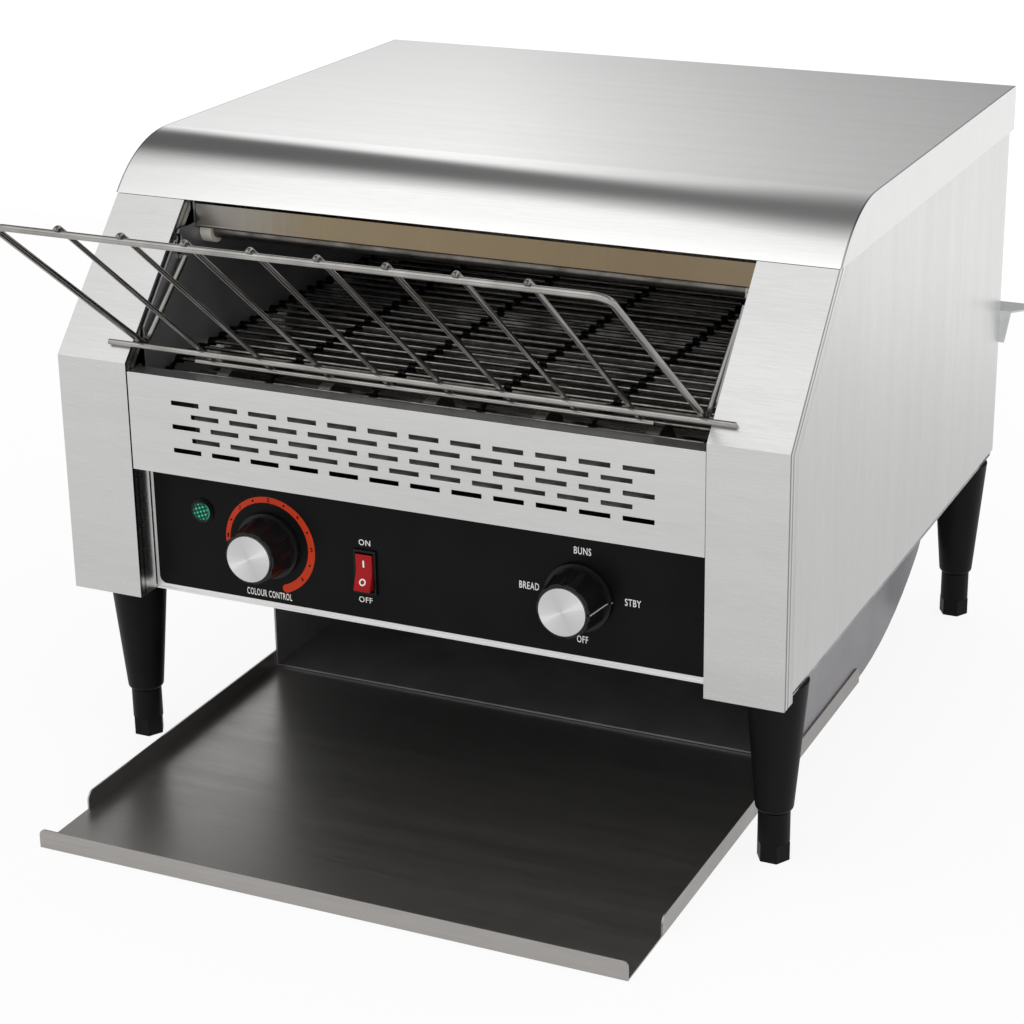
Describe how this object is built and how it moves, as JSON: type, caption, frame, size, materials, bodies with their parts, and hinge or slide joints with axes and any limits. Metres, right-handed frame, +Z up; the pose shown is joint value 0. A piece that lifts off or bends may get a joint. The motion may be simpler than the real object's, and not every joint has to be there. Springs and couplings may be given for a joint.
{
  "type": "conveyor toaster",
  "caption": "Free-standing conveyor toaster with a wire loading rack, chain belt between heating tubes, chute and catch tray under a rolled steel hood.",
  "frame": {"origin": "on the counter, under the middle of the whole toaster from the loading rack's top bar to the rear brackets", "axes": "+X to the right of someone facing the front, +Y to the back, +Z up"},
  "size_m": [0.494, 0.6052, 0.3867],
  "materials": {
    "brushed_hood": "brushed stainless, grain along the width",
    "brushed_side": "brushed stainless, grain upright",
    "brushed_front": "brushed stainless, grain along the width",
    "brushed_back": "brushed stainless, duller",
    "galvanised": "zinc-coated sheet, spangled, matt",
    "overlay_black": "printed black polycarbonate film, glossy",
    "heat_tinted": "stainless tinted brown by heat",
    "dark_steel": "dark grey enamelled steel, satin",
    "reflector": "aluminised steel, bright",
    "heating_tube": "oxidised stainless tube, satin",
    "white_ceramic": "glazed steatite",
    "belt_steel": "stainless wire browned by heat",
    "bronze": "sintered bronze",
    "motor_grey": "grey painted die casting",
    "chain_steel": "oiled dark steel",
    "electric_green": "green solder-masked board and moulding",
    "electric_ivory": "ivory moulding",
    "black_plastic": "black moulding, satin",
    "green_lens": "ribbed translucent green lens",
    "screw_steel": "bright zinc-plated",
    "leg_plastic": "black moulding, fine satin",
    "foot_plastic": "black moulding, satin",
    "bright_wire": "polished stainless wire",
    "brushed_tray": "brushed stainless, grain along the width",
    "knob_black": "black moulding, half glossy",
    "spun_cap": "spun aluminium disc",
    "red_rocker": "red moulding, half glossy",
    "shaft_steel": "turned steel"
  },
  "bodies": {
    "housing": {"hood": "brushed_hood", "left_side_panel": "brushed_side", "right_side_panel": "brushed_side", "left_front_post": "brushed_front", "right_front_post": "brushed_front", "back_panel": "brushed_back", "base_pan": "galvanised", "vent_panel": "brushed_front", "heat_shield": "reflector", "control_panel": "brushed_front", "control_overlay": "overlay_black", "upper_baffle": "heat_tinted", "left_inner_wall": "dark_steel", "right_inner_wall": "dark_steel", "inner_partition": "galvanised", "upper_reflector": "reflector", "lower_reflector": "reflector", "upper_heating_tubes": "heating_tube", "lower_heating_tubes": "heating_tube", "tube_holders": "white_ceramic", "belt_rods": "belt_steel", "belt_links": "belt_steel", "shaft_bushes": "bronze", "gear_motor": "motor_grey", "drive_chain": "chain_steel", "toast_chute": "dark_steel", "speed_potentiometer": "electric_green", "selector_switch": "electric_ivory", "lamp_bezel": "black_plastic", "lamp_lens": "green_lens", "switch_bezel": "black_plastic", "speed_control_board": "electric_green", "terminal_block": "electric_ivory", "cable_gland": "black_plastic", "rear_brackets": "galvanised", "panel_screws": "screw_steel", "left_front_leg": "leg_plastic", "right_front_leg": "leg_plastic", "left_rear_leg": "leg_plastic", "right_rear_leg": "leg_plastic"},
    "rack": {"loading_rack": "bright_wire"},
    "tray": {"toast_tray": "brushed_tray"},
    "speed_dial": {"speed_knob": "knob_black", "speed_knob_cap": "spun_cap"},
    "selector_dial": {"selector_knob": "knob_black", "selector_knob_cap": "spun_cap"},
    "rocker": {"power_rocker": "red_rocker"},
    "rear_drum": {"drive_shaft": "shaft_steel", "belt_wheels": "shaft_steel", "driven_chain_wheel": "chain_steel"},
    "front_drum": {"front_shaft": "shaft_steel", "front_rollers": "shaft_steel"},
    "motor_wheel": {"motor_chain_wheel": "chain_steel"},
    "left_front_foot_screw": {"left_front_foot": "foot_plastic"},
    "right_front_foot_screw": {"right_front_foot": "foot_plastic"},
    "left_rear_foot_screw": {"left_rear_foot": "foot_plastic"},
    "right_rear_foot_screw": {"right_rear_foot": "foot_plastic"}
  },
  "joints": [
    {"name": "speed_knob_turn", "type": "hinge", "parent": "housing", "child": "speed_dial", "pos_m": [-0.1024, -0.176, 0.1565], "axis": [0, 1, 0], "range_deg": [0, 255]},
    {"name": "selector_knob_turn", "type": "hinge", "parent": "housing", "child": "selector_dial", "pos_m": [0.1024, -0.176, 0.1565], "axis": [0, 1, 0], "range_deg": [-180, 90]},
    {"name": "power_rocker_tip", "type": "hinge", "parent": "housing", "child": "rocker", "pos_m": [-0.0366, -0.159, 0.1495], "axis": [1, 0, 0], "range_deg": [0, 20]},
    {"name": "rack_swing", "type": "hinge", "parent": "housing", "child": "rack", "pos_m": [0, -0.112, 0.317], "axis": [-1, 0, 0], "range_deg": [0, 65]},
    {"name": "tray_slide", "type": "slide", "parent": "housing", "child": "tray", "axis": [0, -1, 0], "range_m": [0, 0.4]},
    {"name": "rear_drum_turn", "type": "hinge", "parent": "housing", "child": "rear_drum", "pos_m": [0, 0.2109, 0.23795], "axis": [1, 0, 0], "continuous": true},
    {"name": "front_drum_turn", "type": "hinge", "parent": "housing", "child": "front_drum", "pos_m": [0, -0.132, 0.23795], "axis": [1, 0, 0], "continuous": true},
    {"name": "motor_wheel_turn", "type": "hinge", "parent": "housing", "child": "motor_wheel", "pos_m": [0.2, 0.1109, 0.1622], "axis": [1, 0, 0], "continuous": true},
    {"name": "left_front_foot_turn_out", "type": "slide", "parent": "housing", "child": "left_front_foot_screw", "axis": [0, 0, -1], "range_m": [0, 0.015]},
    {"name": "right_front_foot_turn_out", "type": "slide", "parent": "housing", "child": "right_front_foot_screw", "axis": [0, 0, -1], "range_m": [0, 0.015]},
    {"name": "left_rear_foot_turn_out", "type": "slide", "parent": "housing", "child": "left_rear_foot_screw", "axis": [0, 0, -1], "range_m": [0, 0.015]},
    {"name": "right_rear_foot_turn_out", "type": "slide", "parent": "housing", "child": "right_rear_foot_screw", "axis": [0, 0, -1], "range_m": [0, 0.015]}
  ],
  "couplings": [
    {"joint": "front_drum_turn", "follows": "rear_drum_turn", "ratio": 1},
    {"joint": "motor_wheel_turn", "follows": "rear_drum_turn", "ratio": 2}
  ]
}
